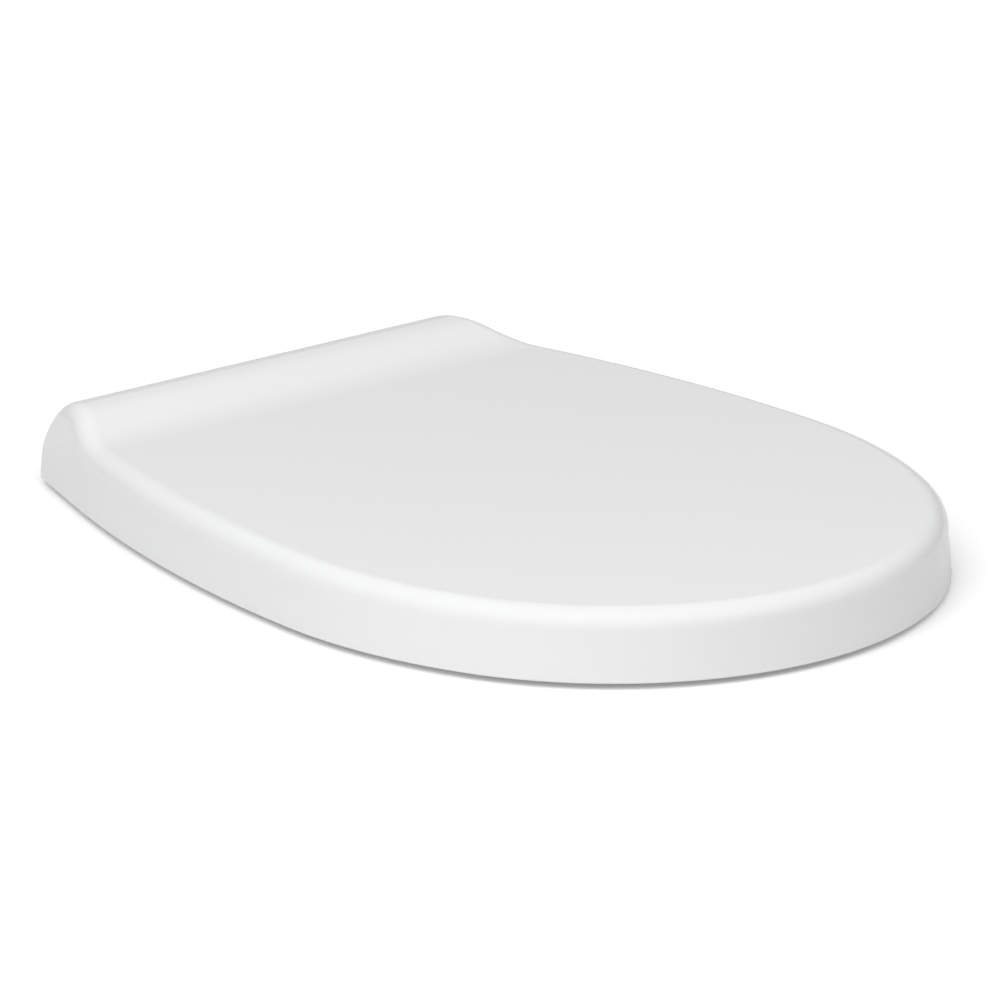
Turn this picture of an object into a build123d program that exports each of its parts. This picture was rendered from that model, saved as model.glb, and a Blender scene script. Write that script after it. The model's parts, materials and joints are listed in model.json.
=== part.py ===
from build123d import *
import os
from math import acos, asin, cos, degrees, radians, sin, sqrt, tan

os.makedirs("parts", exist_ok=True)

# Toilet seat: millimetres, hinge axis along X, front towards -Y, bowl rim at Z = 0

# Lid, plan outline
lid_reach = 450.0
front_arc_r = 168.0
front_arc_half_angle = 63.75
shoulder_arc_r = 241.0
side_arc_r = 748.0
side_straight_y = -40.0

# Lid, side profile
skirt_z = 3.0
lid_top_z = 37.2
crest_z = 46.8
hump_concave_r = 67.0
hump_convex_r = 47.0
rear_barrel_r = 31.0
rear_reach = 14.6
rear_sweep_r = 15.2
lid_draft = 5.0
lid_edge_r = 10.5
lid_wall = 4.0
rear_edge_z = 8.0
rear_edge_half_width = 117.0
notch_top_z = 30.0
skirt_edge_r = 0.8

# Lid, leaning ends of the hump
end_lean = 20.0
end_lean_z = 17.0
end_turn = 4.0
end_blend_r = 40.0

# Hinge
hinge_z = 16.0
fixing_spacing = 155.0
post_length = 28.0
post_r = 8.0
post_foot_front = 7.0
post_foot_rear = 9.0
post_shoulder_drop = 6.0
post_edge_r = 1.0
end_gap = 0.75
lug_length = 14.0
lug_r = 8.0
lug_root_front = 15.0
lug_root_rear = 8.0
lug_bite = 2.0

# Fixing insert and foot pad
insert_r = 5.2
insert_bore_r = 4.0
insert_low_z = 0.4
insert_length = 8.0
pad_thickness = 1.5
pad_margin = 0.5

# Pins, bushes and dampers
pin_r = 3.0
pin_depth = 7.0
pin_end_r = 0.6
bush_wall = 1.5
running_gap = 0.05
seat_gap = 0.02
damper_r = 5.95
damper_flat = 5.4
damper_length = 19.0
damper_cavity_r = 4.6
damper_end_wall = 1.5
damper_cap_length = 2.5
rotor_r = 2.5
vane_thickness = 1.6
vane_start_angle = 50.0
vane_gap = 0.1
vane_end_gap = 0.3
rib_bite = 0.5
tang_r = 3.5
tang_flat = 2.5
tang_length = 12.5

# Seat ring
ring_inset = 8.0
ring_low_z = 9.0
ring_top_z = 29.5
ring_rear_y = -18.0
ring_corner_r = 22.0
ring_edge_r = 9.0
ring_low_edge_r = 1.5
opening_inset = 70.0
opening_rear_start_y = -180.0
ring_wall = 4.5
ring_top_wall = 5.0
ear_root_y = -30.0
ear_half_depth = 7.5
ear_rise = 1.0

# Buffers
buffer_length = 28.0
buffer_width = 15.0
buffer_edge_r = 2.0
buffer_stem_r = 3.0
buffer_stem_length = 8.0
buffer_boss_r = 8.0
front_buffer_angle = 40.0
rear_buffer_y = -125.0
lid_buffer_r = 8.0
lid_buffer_edge_r = 1.0
front_lid_buffer_angle = 22.0
rear_lid_buffer_y = -165.0

# How far cutting bodies reach past what they cut
cut_margin = 1.0
past = 40.0


def polar(centre, radius, angle):
    return (centre[0] + radius * cos(radians(angle)), centre[1] + radius * sin(radians(angle)))


def box(x0, x1, y0, y1, z0, z1):
    return Pos((x0 + x1) / 2, (y0 + y1) / 2, (z0 + z1) / 2) * Box(x1 - x0, y1 - y0, z1 - z0)


def rod(radius, x0, x1):
    low = (Align.CENTER, Align.CENTER, Align.MIN)
    return Pos(x0, 0, hinge_z) * Rot(0, 90, 0) * Cylinder(radius, x1 - x0, align=low)


def slab(face, x0, x1):
    return extrude(Plane.YZ.offset(x0) * face, amount=x1 - x0)


def flipped(shape):
    return mirror(shape, about=Plane.YZ)


def edges_at(shape, z):
    boxes = [(edge, edge.bounding_box()) for edge in shape.edges()]
    return [edge for edge, room in boxes if abs(room.min.Z - z) < 0.001 and abs(room.max.Z - z) < 0.001]


# Plan outline: tangent arcs, moved in by an inset
front_centre = (0.0, front_arc_r - lid_reach)
shoulder_start = front_arc_half_angle - 90
shoulder_centre = polar(front_centre, front_arc_r - shoulder_arc_r, shoulder_start)
side_centre = (shoulder_centre[0] + shoulder_arc_r - side_arc_r, shoulder_centre[1])
side_angle = degrees(asin((side_straight_y - side_centre[1]) / side_arc_r))
past_rear_y = rear_reach + past
half_span = side_centre[0] + side_arc_r + past


def front_edges(inset, side_sweep):
    front_start = -90 - front_arc_half_angle
    front = CenterArc(front_centre, front_arc_r - inset, front_start, 2 * front_arc_half_angle)
    shoulder = CenterArc(shoulder_centre, shoulder_arc_r - inset, shoulder_start, -shoulder_start)
    side = CenterArc(side_centre, side_arc_r - inset, 0, side_sweep)
    return [front, shoulder, side, flipped(shoulder), flipped(side)]


def straight_end(inset, rear_y):
    side_end = polar(side_centre, side_arc_r - inset, side_angle)
    return (side_end[0] - (rear_y - side_end[1]) * tan(radians(side_angle)), rear_y)


def plan(inset, rear_y):
    rear_end = straight_end(inset, rear_y)
    straight = Line(polar(side_centre, side_arc_r - inset, side_angle), rear_end)
    rear = Line(rear_end, (-rear_end[0], rear_y))
    return make_face(front_edges(inset, side_angle) + [straight, rear, flipped(straight)])


# Side profile: flat top, hump up to the crest, round back
hump_angle = degrees(acos(1 - (crest_z - lid_top_z) / (hump_concave_r + hump_convex_r)))
crest_y = rear_reach - rear_barrel_r
hump_y = crest_y - (hump_concave_r + hump_convex_r) * sin(radians(hump_angle))
below_z = skirt_z - past
past_front_y = -lid_reach - past


def profile_edges(inset):
    start = (past_front_y, lid_top_z - inset)
    flat = Line(start, (hump_y, lid_top_z - inset))
    concave = CenterArc((hump_y, lid_top_z + hump_concave_r), hump_concave_r + inset, -90, hump_angle)
    convex = CenterArc((crest_y, crest_z - hump_convex_r), hump_convex_r - inset, 90, hump_angle)
    barrel = CenterArc((crest_y, crest_z - rear_barrel_r), rear_barrel_r - inset, 0, 90)
    back = Line(barrel @ 0, (rear_reach - inset, below_z))
    return [flat, concave, convex, barrel, back]


def profile(inset):
    edges = profile_edges(inset)
    corner = (past_front_y, below_z)
    return make_face(edges + [Line(edges[-1] @ 1, corner), Line(corner, edges[0] @ 0)])


def along_x(edge):
    return abs((edge % 0.1).X) > 0.9999 and abs((edge % 0.5).X) > 0.9999


def rear_low(radius):
    return box(-half_span, half_span, 0, past_rear_y, below_z, hinge_z) - rod(radius, -half_span, half_span)


def drawn_in(z):
    return (z - skirt_z) * tan(radians(lid_draft))


# Room outside the leaning right end of the hump, moved in by an inset
def end_room(inset):
    foot = straight_end(drawn_in(end_lean_z), rear_reach)
    turned = Pos(foot[0], foot[1], end_lean_z) * Rot(0, 0, side_angle + end_turn) * Rot(0, -end_lean, 0)
    outward = (Align.MIN, Align.CENTER, Align.CENTER)
    return turned * Pos(-inset, 0, 0) * Box(half_span, 2 * lid_reach, lid_reach, align=outward)


# Sides of the lid from a low level to above the crest, drawn in upwards, leaning at the hump
def sides(inset, low_z):
    high_z = crest_z + cut_margin
    low_face = plan(inset + drawn_in(low_z), past_rear_y)
    high_face = plan(inset + drawn_in(high_z), past_rear_y)
    drafted = loft([Pos(0, 0, low_z) * low_face, Pos(0, 0, high_z) * high_face], ruled=True)
    rooms = [end_room(inset), flipped(end_room(inset))]
    leaning = drafted - rooms[0] - rooms[1]
    creases = []
    for edge in leaning.edges():
        middle = edge @ 0.5
        on_wall = low_z + 0.001 < middle.Z < high_z - 0.001 and middle.Y < past_rear_y - 0.001
        if on_wall and min(room.distance_to(middle) for room in rooms) < 0.001:
            creases.append(edge)
    return fillet(creases, end_blend_r - inset)


# Full body of the lid moved in by an inset, from a low level up, all top edges rounded
def cover(inset, low_z):
    body = sides(inset, low_z) & slab(profile(inset), -half_span, half_span)
    curve = [Plane.YZ * edge for edge in profile_edges(inset)]
    chain = []
    for edge in body.edges():
        middle = edge @ 0.5
        spot = Vertex(0, middle.Y, middle.Z)
        if not along_x(edge) and min(spot.distance_to(part) for part in curve) < 0.001:
            chain.append(edge)
    return fillet(chain, lid_edge_r - inset) - rear_low(rear_sweep_r - inset)


# Places along the hinge axis
post_x = fixing_spacing / 2
post_in = post_x - post_length / 2
post_out = post_x + post_length / 2
lug_out = post_in - end_gap
lug_in = lug_out - lug_length
ear_in = post_out + end_gap
ear_out = ear_in + lug_length
bush_r = pin_r + running_gap + bush_wall


# A hole for the keyed damper shaft
def keyed(radius, flat, x0, x1):
    return rod(radius, x0, x1) & box(x0, x1, -radius, radius, hinge_z - flat, hinge_z + flat)


# Lid shell, hinge lugs, rear cut-outs
lid = cover(0, skirt_z) - cover(lid_wall, skirt_z - cut_margin)
lid = fillet(edges_at(lid, skirt_z), skirt_edge_r)
lug_face = Pos(0, hinge_z) * Circle(lug_r) + make_face(
    Polyline(
        (-lug_r, hinge_z),
        (-lug_root_front, lid_top_z),
        (-lug_root_front, crest_z),
        (lug_root_rear, crest_z),
        (lug_r, hinge_z),
        close=True,
    )
)
lug_room = cover(lug_bite, skirt_z - cut_margin)
right_lug = slab(lug_face, lug_in, lug_out) & lug_room
rear_edge_cut = box(-rear_edge_half_width, rear_edge_half_width, 0, past_rear_y, below_z, rear_edge_z)
lid = lid - rear_edge_cut
right_notch = box(lug_out, ear_out + end_gap, 0, past_rear_y, below_z, notch_top_z)
lid = lid - right_notch - flipped(right_notch)
lid = lid + right_lug + flipped(right_lug)
lid = lid - keyed(tang_r + running_gap, tang_flat + running_gap, lug_in - cut_margin, lug_out + cut_margin)
lid = lid - rod(bush_r + seat_gap, -lug_out - cut_margin, -lug_in + cut_margin)

# Seat ring: bar with rounded edges, hollow underside, ears to the hinge axis
opening_angle = degrees(asin((opening_rear_start_y - side_centre[1]) / (side_arc_r - opening_inset)))


def opening(inset):
    side_end = polar(side_centre, side_arc_r - inset, opening_angle)
    rear_r = side_end[0] / cos(radians(opening_angle))
    rear_centre = (0.0, side_end[1] - rear_r * sin(radians(opening_angle)))
    rear = CenterArc(rear_centre, rear_r, opening_angle, 180 - 2 * opening_angle)
    return make_face(front_edges(inset, opening_angle) + [rear])


def ring_body(inset, corner_r, low_z, high_z):
    blank = extrude(Pos(0, 0, low_z) * plan(ring_inset + inset, ring_rear_y - inset), amount=high_z - low_z)
    rear_edges = blank.edges().filter_by(Axis.Z).sort_by(Axis.Y)[-2:]
    hole = extrude(Pos(0, 0, low_z) * opening(opening_inset - inset), amount=high_z - low_z)
    return fillet(rear_edges, corner_r) - hole


seat_ring = ring_body(0, ring_corner_r, ring_low_z, ring_top_z)
seat_ring = fillet(edges_at(seat_ring, ring_top_z), ring_edge_r)
seat_ring = fillet(edges_at(seat_ring, ring_low_z), ring_low_edge_r)
hollow = ring_body(ring_wall, ring_corner_r - ring_wall, ring_low_z - cut_margin, ring_top_z - ring_top_wall)

buffer_line_r = front_arc_r - (ring_inset + opening_inset) / 2
front_buffer = polar(front_centre, buffer_line_r, front_buffer_angle - 90)


def bar_middle_x(y):
    side_x = side_centre[0] + sqrt((side_arc_r - ring_inset) ** 2 - (y - side_centre[1]) ** 2)
    side_end = polar(side_centre, side_arc_r - opening_inset, opening_angle)
    rear_r = side_end[0] / cos(radians(opening_angle))
    rear_y = side_end[1] - rear_r * sin(radians(opening_angle))
    return (side_x + sqrt(rear_r**2 - (y - rear_y) ** 2)) / 2


rear_buffer = (bar_middle_x(rear_buffer_y), rear_buffer_y)
low = (Align.CENTER, Align.CENTER, Align.MIN)


def at_sides(shape):
    return [flipped(shape), shape]


for spot in (front_buffer, rear_buffer):
    boss = Pos(spot[0], spot[1], ring_low_z) * Cylinder(buffer_boss_r, ring_top_z - ring_low_z, align=low)
    for side in at_sides(boss):
        hollow = hollow - side
seat_ring = seat_ring - hollow
stem_hole = Cylinder(buffer_stem_r + seat_gap, buffer_stem_length + cut_margin, align=low)
for spot in (front_buffer, rear_buffer):
    for side in at_sides(Pos(spot[0], spot[1], ring_low_z) * stem_hole):
        seat_ring = seat_ring - side

ear_face = Pos(0, hinge_z) * Circle(lug_r) + make_face(
    Polyline(
        (0, hinge_z - ear_half_depth),
        (ear_root_y, hinge_z - ear_half_depth + ear_rise),
        (ear_root_y, hinge_z + ear_half_depth),
        (0, hinge_z + ear_half_depth),
        close=True,
    )
)
right_ear = slab(ear_face, ear_in, ear_out)
seat_ring = seat_ring + right_ear + flipped(right_ear)
seat_ring = seat_ring - rod(bush_r + seat_gap, ear_in - cut_margin, ear_out + cut_margin)
key_hole = keyed(tang_r + running_gap, tang_flat + running_gap, ear_in - cut_margin, ear_out + cut_margin)
seat_ring = seat_ring - flipped(key_hole)

# Posts: the right one takes the lid damper from inside, the left one the seat damper from outside
post_face = Pos(0, hinge_z) * Circle(post_r) + make_face(
    Polyline(
        (-post_foot_front, pad_thickness),
        (-post_foot_front, hinge_z),
        (post_foot_rear, hinge_z - post_shoulder_drop),
        (post_foot_rear, pad_thickness),
        close=True,
    )
)
post_blank = slab(post_face, post_in, post_out)
end_edges = [edge for edge in post_blank.edges() if edge.bounding_box().size.X < 0.001]
post_blank = fillet([edge for edge in end_edges if edge.center().Z > pad_thickness + seat_gap], post_edge_r)
insert_hole = Pos(post_x, 0, 0) * Cylinder(insert_r + seat_gap, insert_low_z + insert_length, align=low)
post_blank = post_blank - insert_hole


def damper_pocket(x0, x1, extra):
    flat = damper_flat + extra
    return rod(damper_r + extra, x0, x1) & box(x0, x1, -post_r, post_r, hinge_z - flat, hinge_z + post_r)


hinge_post_right = post_blank - damper_pocket(post_in - cut_margin, post_in + damper_length, seat_gap)
hinge_post_right = hinge_post_right - rod(pin_r + seat_gap, post_out - pin_depth, post_out + cut_margin)
outer_damper = damper_pocket(post_out - damper_length, post_out + cut_margin, seat_gap)
inner_pin_hole = rod(pin_r + seat_gap, post_in - cut_margin, post_in + pin_depth)
hinge_post_left = flipped(post_blank - outer_damper - inner_pin_hole)

fixing_insert = Pos(post_x, 0, insert_low_z) * (
    Cylinder(insert_r, insert_length, align=low) - Cylinder(insert_bore_r, insert_length, align=low)
)
pad = box(
    post_in + pad_margin,
    post_out - pad_margin,
    pad_margin - post_foot_front,
    post_foot_rear - pad_margin,
    0,
    pad_thickness,
) - Pos(post_x, 0, 0) * Cylinder(insert_r + running_gap, pad_thickness, align=low)

# Damper built from its open end at X = 0 inwards to +X, shaft towards -X
cavity_end = damper_length - damper_end_wall
housing = damper_pocket(0, damper_length, 0) - rod(damper_cavity_r, 0, cavity_end)
vane_start = damper_cap_length + vane_end_gap
vane_end = cavity_end - vane_end_gap
rib_root = damper_cavity_r + rib_bite
rib = Pos(0, 0, hinge_z) * box(
    damper_cap_length, cavity_end, -rib_root, -rotor_r - vane_gap, -vane_thickness / 2, vane_thickness / 2
)
housing = housing + rib
cap = rod(damper_cavity_r - seat_gap, 0, damper_cap_length)
cap = cap - rod(rotor_r + running_gap, 0, damper_cap_length)
vane_tip = damper_cavity_r - vane_gap
vane_box = box(vane_start, vane_end, -vane_tip, 0, -vane_thickness / 2, vane_thickness / 2)
vane = Pos(0, 0, hinge_z) * Rot(-vane_start_angle, 0, 0) * vane_box
rotor = rod(rotor_r, -end_gap, vane_end) + vane
rotor = rotor + keyed(tang_r, tang_flat, -end_gap - tang_length, -end_gap / 2)

lid_damper = Pos(post_in, 0, 0)
seat_damper = Pos(post_out, 0, 0)

# Plain pins and bushes
pin_length = pin_depth + end_gap + lug_length
pin_blank = fillet(rod(pin_r, 0, pin_length).edges().filter_by(GeomType.CIRCLE), pin_end_r)
bush = rod(bush_r, 0, lug_length) - rod(pin_r + running_gap, 0, lug_length)

# Buffers
foot = extrude(SlotOverall(buffer_length, buffer_width), amount=ring_low_z)
foot = fillet(edges_at(foot, 0), buffer_edge_r)
foot = foot + Pos(0, 0, ring_low_z) * Cylinder(buffer_stem_r, buffer_stem_length, align=low)
front_foot = Pos(front_buffer[0], front_buffer[1]) * Rot(0, 0, front_buffer_angle) * foot
rear_foot = Pos(rear_buffer[0], rear_buffer[1]) * Rot(0, 0, 90) * foot
disc = Pos(0, 0, ring_top_z) * Cylinder(lid_buffer_r, lid_top_z - lid_wall - ring_top_z, align=low)
disc = fillet(edges_at(disc, ring_top_z), lid_buffer_edge_r)
front_disc_spot = polar(front_centre, buffer_line_r, front_lid_buffer_angle - 90)
front_disc = Pos(front_disc_spot[0], front_disc_spot[1]) * disc
rear_disc = Pos(bar_middle_x(rear_lid_buffer_y), rear_lid_buffer_y) * disc

nodes = {
    "hinge_post_left": hinge_post_left,
    "hinge_post_right": hinge_post_right,
    "fixing_insert_left": flipped(fixing_insert),
    "fixing_insert_right": fixing_insert,
    "foot_pad_left": flipped(pad),
    "foot_pad_right": pad,
    "lid_damper_housing": lid_damper * housing,
    "lid_damper_cap": lid_damper * cap,
    "lid_damper_rotor": lid_damper * rotor,
    "seat_damper_housing": flipped(seat_damper * flipped(housing)),
    "seat_damper_cap": flipped(seat_damper * flipped(cap)),
    "seat_damper_rotor": flipped(seat_damper * flipped(rotor)),
    "lid_hinge_pin": Pos(-lug_in - pin_length, 0, 0) * pin_blank,
    "seat_hinge_pin": Pos(ear_out - pin_length, 0, 0) * pin_blank,
    "lid_bush": Pos(-lug_out, 0, 0) * bush,
    "seat_bush": Pos(ear_in, 0, 0) * bush,
    "lid": lid,
    "seat_ring": seat_ring,
    "seat_buffer_front_left": flipped(front_foot),
    "seat_buffer_front_right": front_foot,
    "seat_buffer_rear_left": flipped(rear_foot),
    "seat_buffer_rear_right": rear_foot,
    "lid_buffer_front_left": flipped(front_disc),
    "lid_buffer_front_right": front_disc,
    "lid_buffer_rear_left": flipped(rear_disc),
    "lid_buffer_rear_right": rear_disc,
}

for name, solid in nodes.items():
    export_step(solid, f"parts/{name}.step")
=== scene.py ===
import bpy
import json
import math
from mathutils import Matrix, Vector


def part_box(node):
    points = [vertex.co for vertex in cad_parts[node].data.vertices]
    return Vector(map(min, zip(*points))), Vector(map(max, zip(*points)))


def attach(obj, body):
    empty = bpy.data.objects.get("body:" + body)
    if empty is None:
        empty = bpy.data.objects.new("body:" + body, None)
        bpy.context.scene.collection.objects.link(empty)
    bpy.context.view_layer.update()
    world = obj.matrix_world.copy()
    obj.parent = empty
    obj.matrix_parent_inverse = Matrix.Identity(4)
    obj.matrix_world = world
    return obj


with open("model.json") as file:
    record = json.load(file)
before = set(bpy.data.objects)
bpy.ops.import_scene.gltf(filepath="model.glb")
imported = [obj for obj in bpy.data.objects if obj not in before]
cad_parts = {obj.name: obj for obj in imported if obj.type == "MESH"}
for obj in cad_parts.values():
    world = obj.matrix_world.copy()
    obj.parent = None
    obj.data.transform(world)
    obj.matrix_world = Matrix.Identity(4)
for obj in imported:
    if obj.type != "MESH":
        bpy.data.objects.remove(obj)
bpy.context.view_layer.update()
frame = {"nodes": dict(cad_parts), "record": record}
nodes = frame["nodes"]
print("frame loaded,", len(nodes), "nodes")

lidFinish = {
    "paleTone": (0.775, 0.778, 0.783),
    "deepTone": (0.765, 0.768, 0.773),
    "toneScale": 9.0,
    "roughLow": 0.07,
    "roughHigh": 0.10,
    "roughScale": 60.0,
    "peelScale": 420.0,
    "peelHeight": 0.000004,
    "ior": 1.55,
}

hingeFinish = {
    "paleTone": (0.78, 0.782, 0.788),
    "deepTone": (0.76, 0.762, 0.768),
    "toneScale": 60.0,
    "roughLow": 0.26,
    "roughHigh": 0.36,
    "roughScale": 300.0,
    "peelScale": 2600.0,
    "peelHeight": 0.00001,
    "ior": 1.5,
}

rubberFinish = {
    "paleTone": (0.085, 0.085, 0.088),
    "deepTone": (0.06, 0.06, 0.063),
    "toneScale": 220.0,
    "roughLow": 0.62,
    "roughHigh": 0.8,
    "roughScale": 500.0,
    "peelScale": 3000.0,
    "peelHeight": 0.00003,
    "ior": 1.45,
}

bufferFinish = {
    "paleTone": (0.66, 0.66, 0.63),
    "deepTone": (0.58, 0.58, 0.55),
    "toneScale": 90.0,
    "roughLow": 0.35,
    "roughHigh": 0.5,
    "roughScale": 400.0,
    "peelScale": 1500.0,
    "peelHeight": 0.00001,
    "ior": 1.42,
}

bushFinish = {
    "paleTone": (0.68, 0.66, 0.60),
    "deepTone": (0.62, 0.60, 0.54),
    "toneScale": 150.0,
    "roughLow": 0.4,
    "roughHigh": 0.5,
    "roughScale": 600.0,
    "peelScale": 2400.0,
    "peelHeight": 0.00001,
    "ior": 1.53,
}

damperFinish = {
    "paleTone": (0.045, 0.045, 0.048),
    "deepTone": (0.03, 0.03, 0.032),
    "toneScale": 200.0,
    "roughLow": 0.42,
    "roughHigh": 0.55,
    "roughScale": 800.0,
    "peelScale": 4000.0,
    "peelHeight": 0.00001,
    "ior": 1.5,
}

brassFinish = {
    "paleTone": (0.80, 0.60, 0.27),
    "deepTone": (0.70, 0.50, 0.20),
    "toneScale": 240.0,
    "roughLow": 0.22,
    "roughHigh": 0.34,
    "grain": (1.0, 1.0, 14.0),
    "grainScale": 700.0,
    "grainDetail": 4.0,
    "grainHeight": 0.000006,
}

steelFinish = {
    "paleTone": (0.66, 0.66, 0.67),
    "deepTone": (0.54, 0.54, 0.56),
    "toneScale": 300.0,
    "roughLow": 0.2,
    "roughHigh": 0.32,
    "grain": (14.0, 1.0, 1.0),
    "grainScale": 700.0,
    "grainDetail": 4.0,
    "grainHeight": 0.000004,
}


def newMaterial(name):
    mat = bpy.data.materials.new(name)
    mat.use_nodes = True
    tree = mat.node_tree
    shader = tree.nodes["Principled BSDF"]
    coords = tree.nodes.new("ShaderNodeTexCoord")
    return mat, tree, shader, coords


def addNoise(tree, vector, scale, detail=2.0):
    noise = tree.nodes.new("ShaderNodeTexNoise")
    noise.inputs["Scale"].default_value = scale
    noise.inputs["Detail"].default_value = detail
    tree.links.new(vector, noise.inputs["Vector"])
    return noise.outputs["Fac"]


def addTone(tree, shader, fac, finish):
    mix = tree.nodes.new("ShaderNodeMix")
    mix.data_type = "RGBA"
    mix.inputs["A"].default_value = (*finish["deepTone"], 1.0)
    mix.inputs["B"].default_value = (*finish["paleTone"], 1.0)
    tree.links.new(fac, mix.inputs["Factor"])
    tree.links.new(mix.outputs["Result"], shader.inputs["Base Color"])


def addRough(tree, shader, fac, finish):
    ramp = tree.nodes.new("ShaderNodeMapRange")
    ramp.inputs["To Min"].default_value = finish["roughLow"]
    ramp.inputs["To Max"].default_value = finish["roughHigh"]
    tree.links.new(fac, ramp.inputs["Value"])
    tree.links.new(ramp.outputs["Result"], shader.inputs["Roughness"])


def addBump(tree, shader, fac, height):
    bump = tree.nodes.new("ShaderNodeBump")
    bump.inputs["Strength"].default_value = 1.0
    bump.inputs["Distance"].default_value = height
    tree.links.new(fac, bump.inputs["Height"])
    tree.links.new(bump.outputs["Normal"], shader.inputs["Normal"])


def mouldedPlastic(name, finish):
    mat, tree, shader, coords = newMaterial(name)
    place = coords.outputs["Object"]
    shader.inputs["IOR"].default_value = finish["ior"]
    addTone(tree, shader, addNoise(tree, place, finish["toneScale"]), finish)
    addRough(tree, shader, addNoise(tree, place, finish["roughScale"]), finish)
    addBump(tree, shader, addNoise(tree, place, finish["peelScale"]), finish["peelHeight"])
    return mat


def turnedMetal(name, finish):
    mat, tree, shader, coords = newMaterial(name)
    shader.inputs["Metallic"].default_value = 1.0
    stretch = tree.nodes.new("ShaderNodeMapping")
    stretch.inputs["Scale"].default_value = finish["grain"]
    tree.links.new(coords.outputs["Object"], stretch.inputs["Vector"])
    grain = addNoise(tree, stretch.outputs["Vector"], finish["grainScale"], finish["grainDetail"])
    addTone(tree, shader, addNoise(tree, coords.outputs["Object"], finish["toneScale"]), finish)
    addRough(tree, shader, grain, finish)
    addBump(tree, shader, grain, finish["grainHeight"])
    return mat


glossWhite = mouldedPlastic("glossWhite", lidFinish)
hingeWhite = mouldedPlastic("hingeWhite", hingeFinish)
rubberGrey = mouldedPlastic("rubberGrey", rubberFinish)
bufferClear = mouldedPlastic("bufferClear", bufferFinish)
bushPlastic = mouldedPlastic("bushPlastic", bushFinish)
damperPlastic = mouldedPlastic("damperPlastic", damperFinish)
brass = turnedMetal("brass", brassFinish)
steel = turnedMetal("steel", steelFinish)

finishBySlot = {
    "gloss_white": glossWhite,
    "hinge_white": hingeWhite,
    "rubber_grey": rubberGrey,
    "buffer_clear": bufferClear,
    "bush_plastic": bushPlastic,
    "damper_plastic": damperPlastic,
    "brass": brass,
    "steel": steel,
}
for part in frame["record"]["subparts"]:
    for place in nodes[part["node"]].material_slots:
        place.material = finishBySlot[part["material_slot"]]
print("finishes set")

insertThread = {
    "pitch": 0.00125,
    "pathRadius": 0.00395,
    "ridge": 0.00055,
    "pointsPerTurn": 48,
}


def threadTree(mat):
    tree = bpy.data.node_groups.new("insertThread", "GeometryNodeTree")
    face = tree.interface
    inputs = {
        "Turns": "NodeSocketFloat",
        "Rise": "NodeSocketFloat",
        "Path Radius": "NodeSocketFloat",
        "Ridge": "NodeSocketFloat",
        "Points Per Turn": "NodeSocketInt",
        "First": "NodeSocketVector",
        "Step": "NodeSocketVector",
    }
    for name, kind in inputs.items():
        face.new_socket(name, in_out="INPUT", socket_type=kind)
    face.new_socket("Geometry", in_out="OUTPUT", socket_type="NodeSocketGeometry")
    given = tree.nodes.new("NodeGroupInput")
    made = tree.nodes.new("NodeGroupOutput")
    coil = tree.nodes.new("GeometryNodeCurveSpiral")
    level = tree.nodes.new("GeometryNodeSetCurveNormal")  # keeps the ridge's point towards the axis
    level.mode = "Z_UP"
    shape = tree.nodes.new("GeometryNodeCurvePrimitiveCircle")
    shape.inputs["Resolution"].default_value = 4  # a square on its point
    sweep = tree.nodes.new("GeometryNodeCurveToMesh")
    sweep.inputs["Fill Caps"].default_value = True
    spots = tree.nodes.new("GeometryNodeMeshLine")
    spots.inputs["Count"].default_value = 2  # left insert, then right
    copies = tree.nodes.new("GeometryNodeInstanceOnPoints")
    real = tree.nodes.new("GeometryNodeRealizeInstances")
    finish = tree.nodes.new("GeometryNodeSetMaterial")
    finish.inputs["Material"].default_value = mat
    link = tree.links.new
    link(given.outputs["Turns"], coil.inputs["Rotations"])
    link(given.outputs["Rise"], coil.inputs["Height"])
    link(given.outputs["Path Radius"], coil.inputs["Start Radius"])
    link(given.outputs["Path Radius"], coil.inputs["End Radius"])
    link(given.outputs["Points Per Turn"], coil.inputs["Resolution"])
    link(given.outputs["Ridge"], shape.inputs["Radius"])
    link(coil.outputs["Curve"], level.inputs["Curve"])
    link(level.outputs["Curve"], sweep.inputs["Curve"])
    link(shape.outputs["Curve"], sweep.inputs["Profile Curve"])
    link(given.outputs["First"], spots.inputs["Start Location"])
    link(given.outputs["Step"], spots.inputs["Offset"])
    link(spots.outputs["Mesh"], copies.inputs["Points"])
    link(sweep.outputs["Mesh"], copies.inputs["Instance"])
    link(copies.outputs["Instances"], real.inputs["Geometry"])
    link(real.outputs["Geometry"], finish.inputs["Geometry"])
    link(finish.outputs["Geometry"], made.inputs["Geometry"])
    return tree


def makeThreads(look, mat):
    low, high = (Vector(p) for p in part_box("fixing_insert_left"))
    far = Vector(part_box("fixing_insert_right")[0])
    rise = high.z - low.z - 2 * look["ridge"]
    first = Vector(((low.x + high.x) / 2, (low.y + high.y) / 2, low.z + look["ridge"]))
    sizes = {
        "Turns": rise / look["pitch"],
        "Rise": rise,
        "Path Radius": look["pathRadius"],
        "Ridge": look["ridge"],
        "Points Per Turn": look["pointsPerTurn"],
        "First": first,
        "Step": (far.x - low.x, far.y - low.y, 0.0),
    }
    carrier = bpy.data.objects.new("threadCarrier", bpy.data.meshes.new("threadCarrier"))
    bpy.context.scene.collection.objects.link(carrier)
    mod = carrier.modifiers.new("insertThread", "NODES")
    mod.node_group = threadTree(mat)
    for item in mod.node_group.interface.items_tree:
        if item.in_out == "INPUT":
            mod[item.identifier] = sizes[item.name]
    seenBy = bpy.context.evaluated_depsgraph_get()
    mesh = bpy.data.meshes.new_from_object(carrier.evaluated_get(seenBy))
    bpy.data.objects.remove(carrier)
    mesh.name = "insertThreads"
    threads = bpy.data.objects.new("insertThreads", mesh)
    bpy.context.scene.collection.objects.link(threads)
    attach(threads, "base")
    return threads


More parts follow.
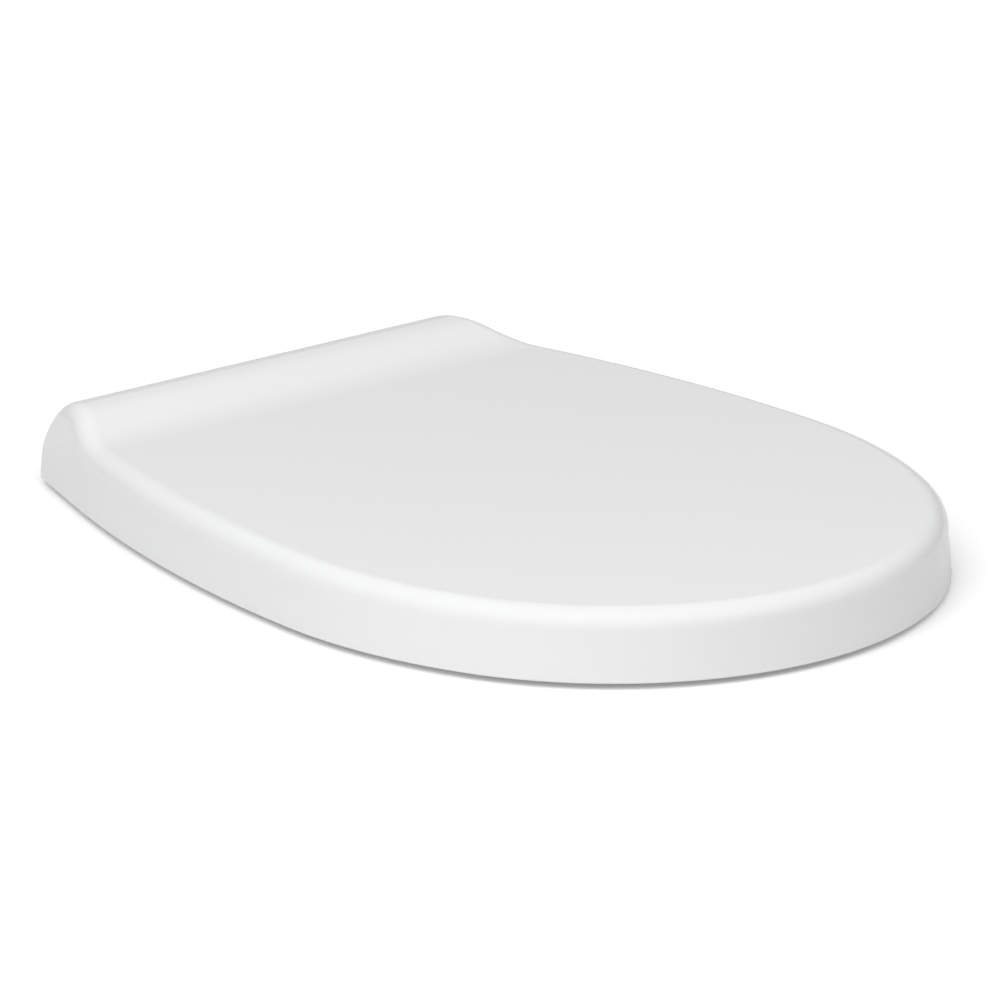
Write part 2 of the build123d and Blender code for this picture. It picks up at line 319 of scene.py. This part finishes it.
threads = makeThreads(insertThread, brass)
print("insert threads cut,", len(threads.data.polygons), "faces")

floorLook = {
    "halfSize": 1.3,
    "tone": (0.8, 0.8, 0.8),
    "middle": (0.0, -0.2275, 0.0),
    "nearWhite": 0.22,
    "farWhite": 0.54,
    "nearReach": 0.25,
    "farReach": 1.15,
    "mirroredWhite": 0.05,
}


def makeFloor(look):
    half = look["halfSize"]
    corners = [(-half, -half, 0), (half, -half, 0), (half, half, 0), (-half, half, 0)]
    mesh = bpy.data.meshes.new("floor")
    mesh.from_pydata(corners, [], [(0, 1, 2, 3)])
    floor = bpy.data.objects.new("floor", mesh)
    bpy.context.scene.collection.objects.link(floor)
    mat = bpy.data.materials.new("floorPale")
    mat.use_nodes = True
    tree = mat.node_tree
    tree.nodes.clear()
    out = tree.nodes.new("ShaderNodeOutputMaterial")
    matt = tree.nodes.new("ShaderNodeBsdfDiffuse")
    matt.inputs["Color"].default_value = (*look["tone"], 1.0)
    glow = tree.nodes.new("ShaderNodeEmission")
    path = tree.nodes.new("ShaderNodeLightPath")
    coords = tree.nodes.new("ShaderNodeTexCoord")
    reach = tree.nodes.new("ShaderNodeVectorMath")
    reach.operation = "DISTANCE"
    reach.inputs[1].default_value = look["middle"]
    fade = tree.nodes.new("ShaderNodeMapRange")  # more white further out, where less light falls
    fade.inputs["From Min"].default_value = look["nearReach"]
    fade.inputs["From Max"].default_value = look["farReach"]
    fade.inputs["To Min"].default_value = look["nearWhite"]
    fade.inputs["To Max"].default_value = look["farWhite"]
    seen = tree.nodes.new("ShaderNodeMath")  # lifts the floor to white where it is seen
    seen.operation = "MULTIPLY"
    bounce = tree.nodes.new("ShaderNodeMath")
    bounce.operation = "MAXIMUM"
    shown = tree.nodes.new("ShaderNodeMath")  # and where metal, gloss or clear plastic shows it
    shown.operation = "MULTIPLY_ADD"
    shown.inputs[1].default_value = look["mirroredWhite"]
    both = tree.nodes.new("ShaderNodeAddShader")
    link = tree.links.new
    link(coords.outputs["Object"], reach.inputs[0])
    link(reach.outputs["Value"], fade.inputs["Value"])
    link(path.outputs["Is Camera Ray"], seen.inputs[0])
    link(fade.outputs["Result"], seen.inputs[1])
    link(path.outputs["Is Glossy Ray"], bounce.inputs[0])
    link(path.outputs["Is Transmission Ray"], bounce.inputs[1])
    link(bounce.outputs["Value"], shown.inputs[0])
    link(seen.outputs["Value"], shown.inputs[2])
    link(shown.outputs["Value"], glow.inputs["Strength"])
    link(matt.outputs["BSDF"], both.inputs[0])
    link(glow.outputs["Emission"], both.inputs[1])
    link(both.outputs["Shader"], out.inputs["Surface"])
    mesh.materials.append(mat)


makeFloor(floorLook)
print("floor laid")

skyLook = {
    "lightStops": [(0.0, 0.0), (0.55, 0.0), (0.85, 0.78), (1.0, 0.78)],  # height, level
    "glossStops": [(0.0, 0.5), (0.2, 0.5), (0.35, 0.65), (0.5, 0.65), (0.7, 1.0)],  # what gloss mirrors
}


def heightRamp(tree, height, stops):
    curve = tree.nodes.new("ShaderNodeValToRGB")
    ramp = curve.color_ramp
    while len(ramp.elements) < len(stops):
        ramp.elements.new(0.5)
    for element, (spot, level) in zip(ramp.elements, stops):
        element.position = spot
        element.color = (level, level, level, 1.0)
    glow = tree.nodes.new("ShaderNodeBackground")
    tree.links.new(height, curve.inputs["Fac"])
    tree.links.new(curve.outputs["Color"], glow.inputs["Color"])
    return glow.outputs["Background"]


def makeSky(look):
    world = bpy.data.worlds.new("studio")
    bpy.context.scene.world = world
    world.use_nodes = True
    tree = world.node_tree
    tree.nodes.clear()
    out = tree.nodes.new("ShaderNodeOutputWorld")
    coords = tree.nodes.new("ShaderNodeTexCoord")
    split = tree.nodes.new("ShaderNodeSeparateXYZ")
    path = tree.nodes.new("ShaderNodeLightPath")
    through = tree.nodes.new("ShaderNodeMath")  # seen, or seen through clear plastic
    through.operation = "MAXIMUM"
    white = tree.nodes.new("ShaderNodeBackground")
    white.inputs["Color"].default_value = (1.0, 1.0, 1.0, 1.0)
    mirrored = tree.nodes.new("ShaderNodeMixShader")
    shown = tree.nodes.new("ShaderNodeMixShader")
    link = tree.links.new
    link(coords.outputs["Generated"], split.inputs["Vector"])
    link(path.outputs["Is Glossy Ray"], mirrored.inputs["Fac"])
    link(heightRamp(tree, split.outputs["Z"], look["lightStops"]), mirrored.inputs[1])
    link(heightRamp(tree, split.outputs["Z"], look["glossStops"]), mirrored.inputs[2])
    link(path.outputs["Is Camera Ray"], through.inputs[0])
    link(path.outputs["Is Transmission Ray"], through.inputs[1])
    link(through.outputs["Value"], shown.inputs["Fac"])
    link(mirrored.outputs["Shader"], shown.inputs[1])
    link(white.outputs["Background"], shown.inputs[2])
    link(shown.outputs["Shader"], out.inputs["Surface"])


makeSky(skyLook)

softboxes = {
    "keyBox": {
        "azimuth": -62.0,
        "elevation": 45.0,
        "distance": 2.0,
        "width": 3.2,
        "height": 2.8,
        "level": 1.8,
    },
    "sideBox": {
        "azimuth": 45.0,
        "elevation": 34.0,
        "distance": 2.0,
        "width": 1.9,
        "height": 1.7,
        "level": 0.74,
    },
    "rearBox": {
        "azimuth": 160.0,
        "elevation": 30.0,
        "distance": 2.2,
        "width": 1.8,
        "height": 1.4,
        "level": 0.8,
    },
}
boxAim = Vector((0.0, -0.22, 0.02))  # what all the boxes point at


def backFrom(place):
    a = math.radians(place["azimuth"])
    e = math.radians(place["elevation"])
    return Vector((math.sin(a) * math.cos(e), -math.cos(a) * math.cos(e), math.sin(e)))


def makeSoftbox(name, look):
    back = backFrom(look)
    data = bpy.data.lights.new(name, "AREA")
    data.shape = "RECTANGLE"
    data.size = look["width"]
    data.size_y = look["height"]
    data.energy = look["level"] * math.pi * look["width"] * look["height"]
    lamp = bpy.data.objects.new(name, data)
    bpy.context.scene.collection.objects.link(lamp)
    lamp.location = boxAim + back * look["distance"]
    lamp.rotation_mode = "QUATERNION"
    lamp.rotation_quaternion = (-back).to_track_quat("-Z", "Y")
    lamp.visible_camera = False
    lamp.visible_glossy = False  # gloss shows the even sky instead


for name, look in softboxes.items():
    makeSoftbox(name, look)
print("light set")

cameraPlace = {
    "azimuth": -39.9,
    "elevation": 18.34,
    "middle": (0.0, -0.2275, 0.023),
    "right": -0.01754,
    "up": 0.00033,
    "distance": 2.96697,
    "lens": 216.02,
    "sensor": 36.0,
}


def makeCamera(place):
    back = backFrom(place)
    right = Vector((0.0, 0.0, 1.0)).cross(back).normalized()
    up = back.cross(right)
    target = Vector(place["middle"]) + right * place["right"] + up * place["up"]
    data = bpy.data.cameras.new("camera")
    data.lens = place["lens"]
    data.sensor_width = place["sensor"]
    camera = bpy.data.objects.new("camera", data)
    bpy.context.scene.collection.objects.link(camera)
    camera.location = target + back * place["distance"]
    camera.rotation_mode = "QUATERNION"
    camera.rotation_quaternion = (-back).to_track_quat("-Z", "Y")
    bpy.context.scene.camera = camera


makeCamera(cameraPlace)
bpy.context.scene.view_settings.view_transform = "Standard"
print("camera placed")
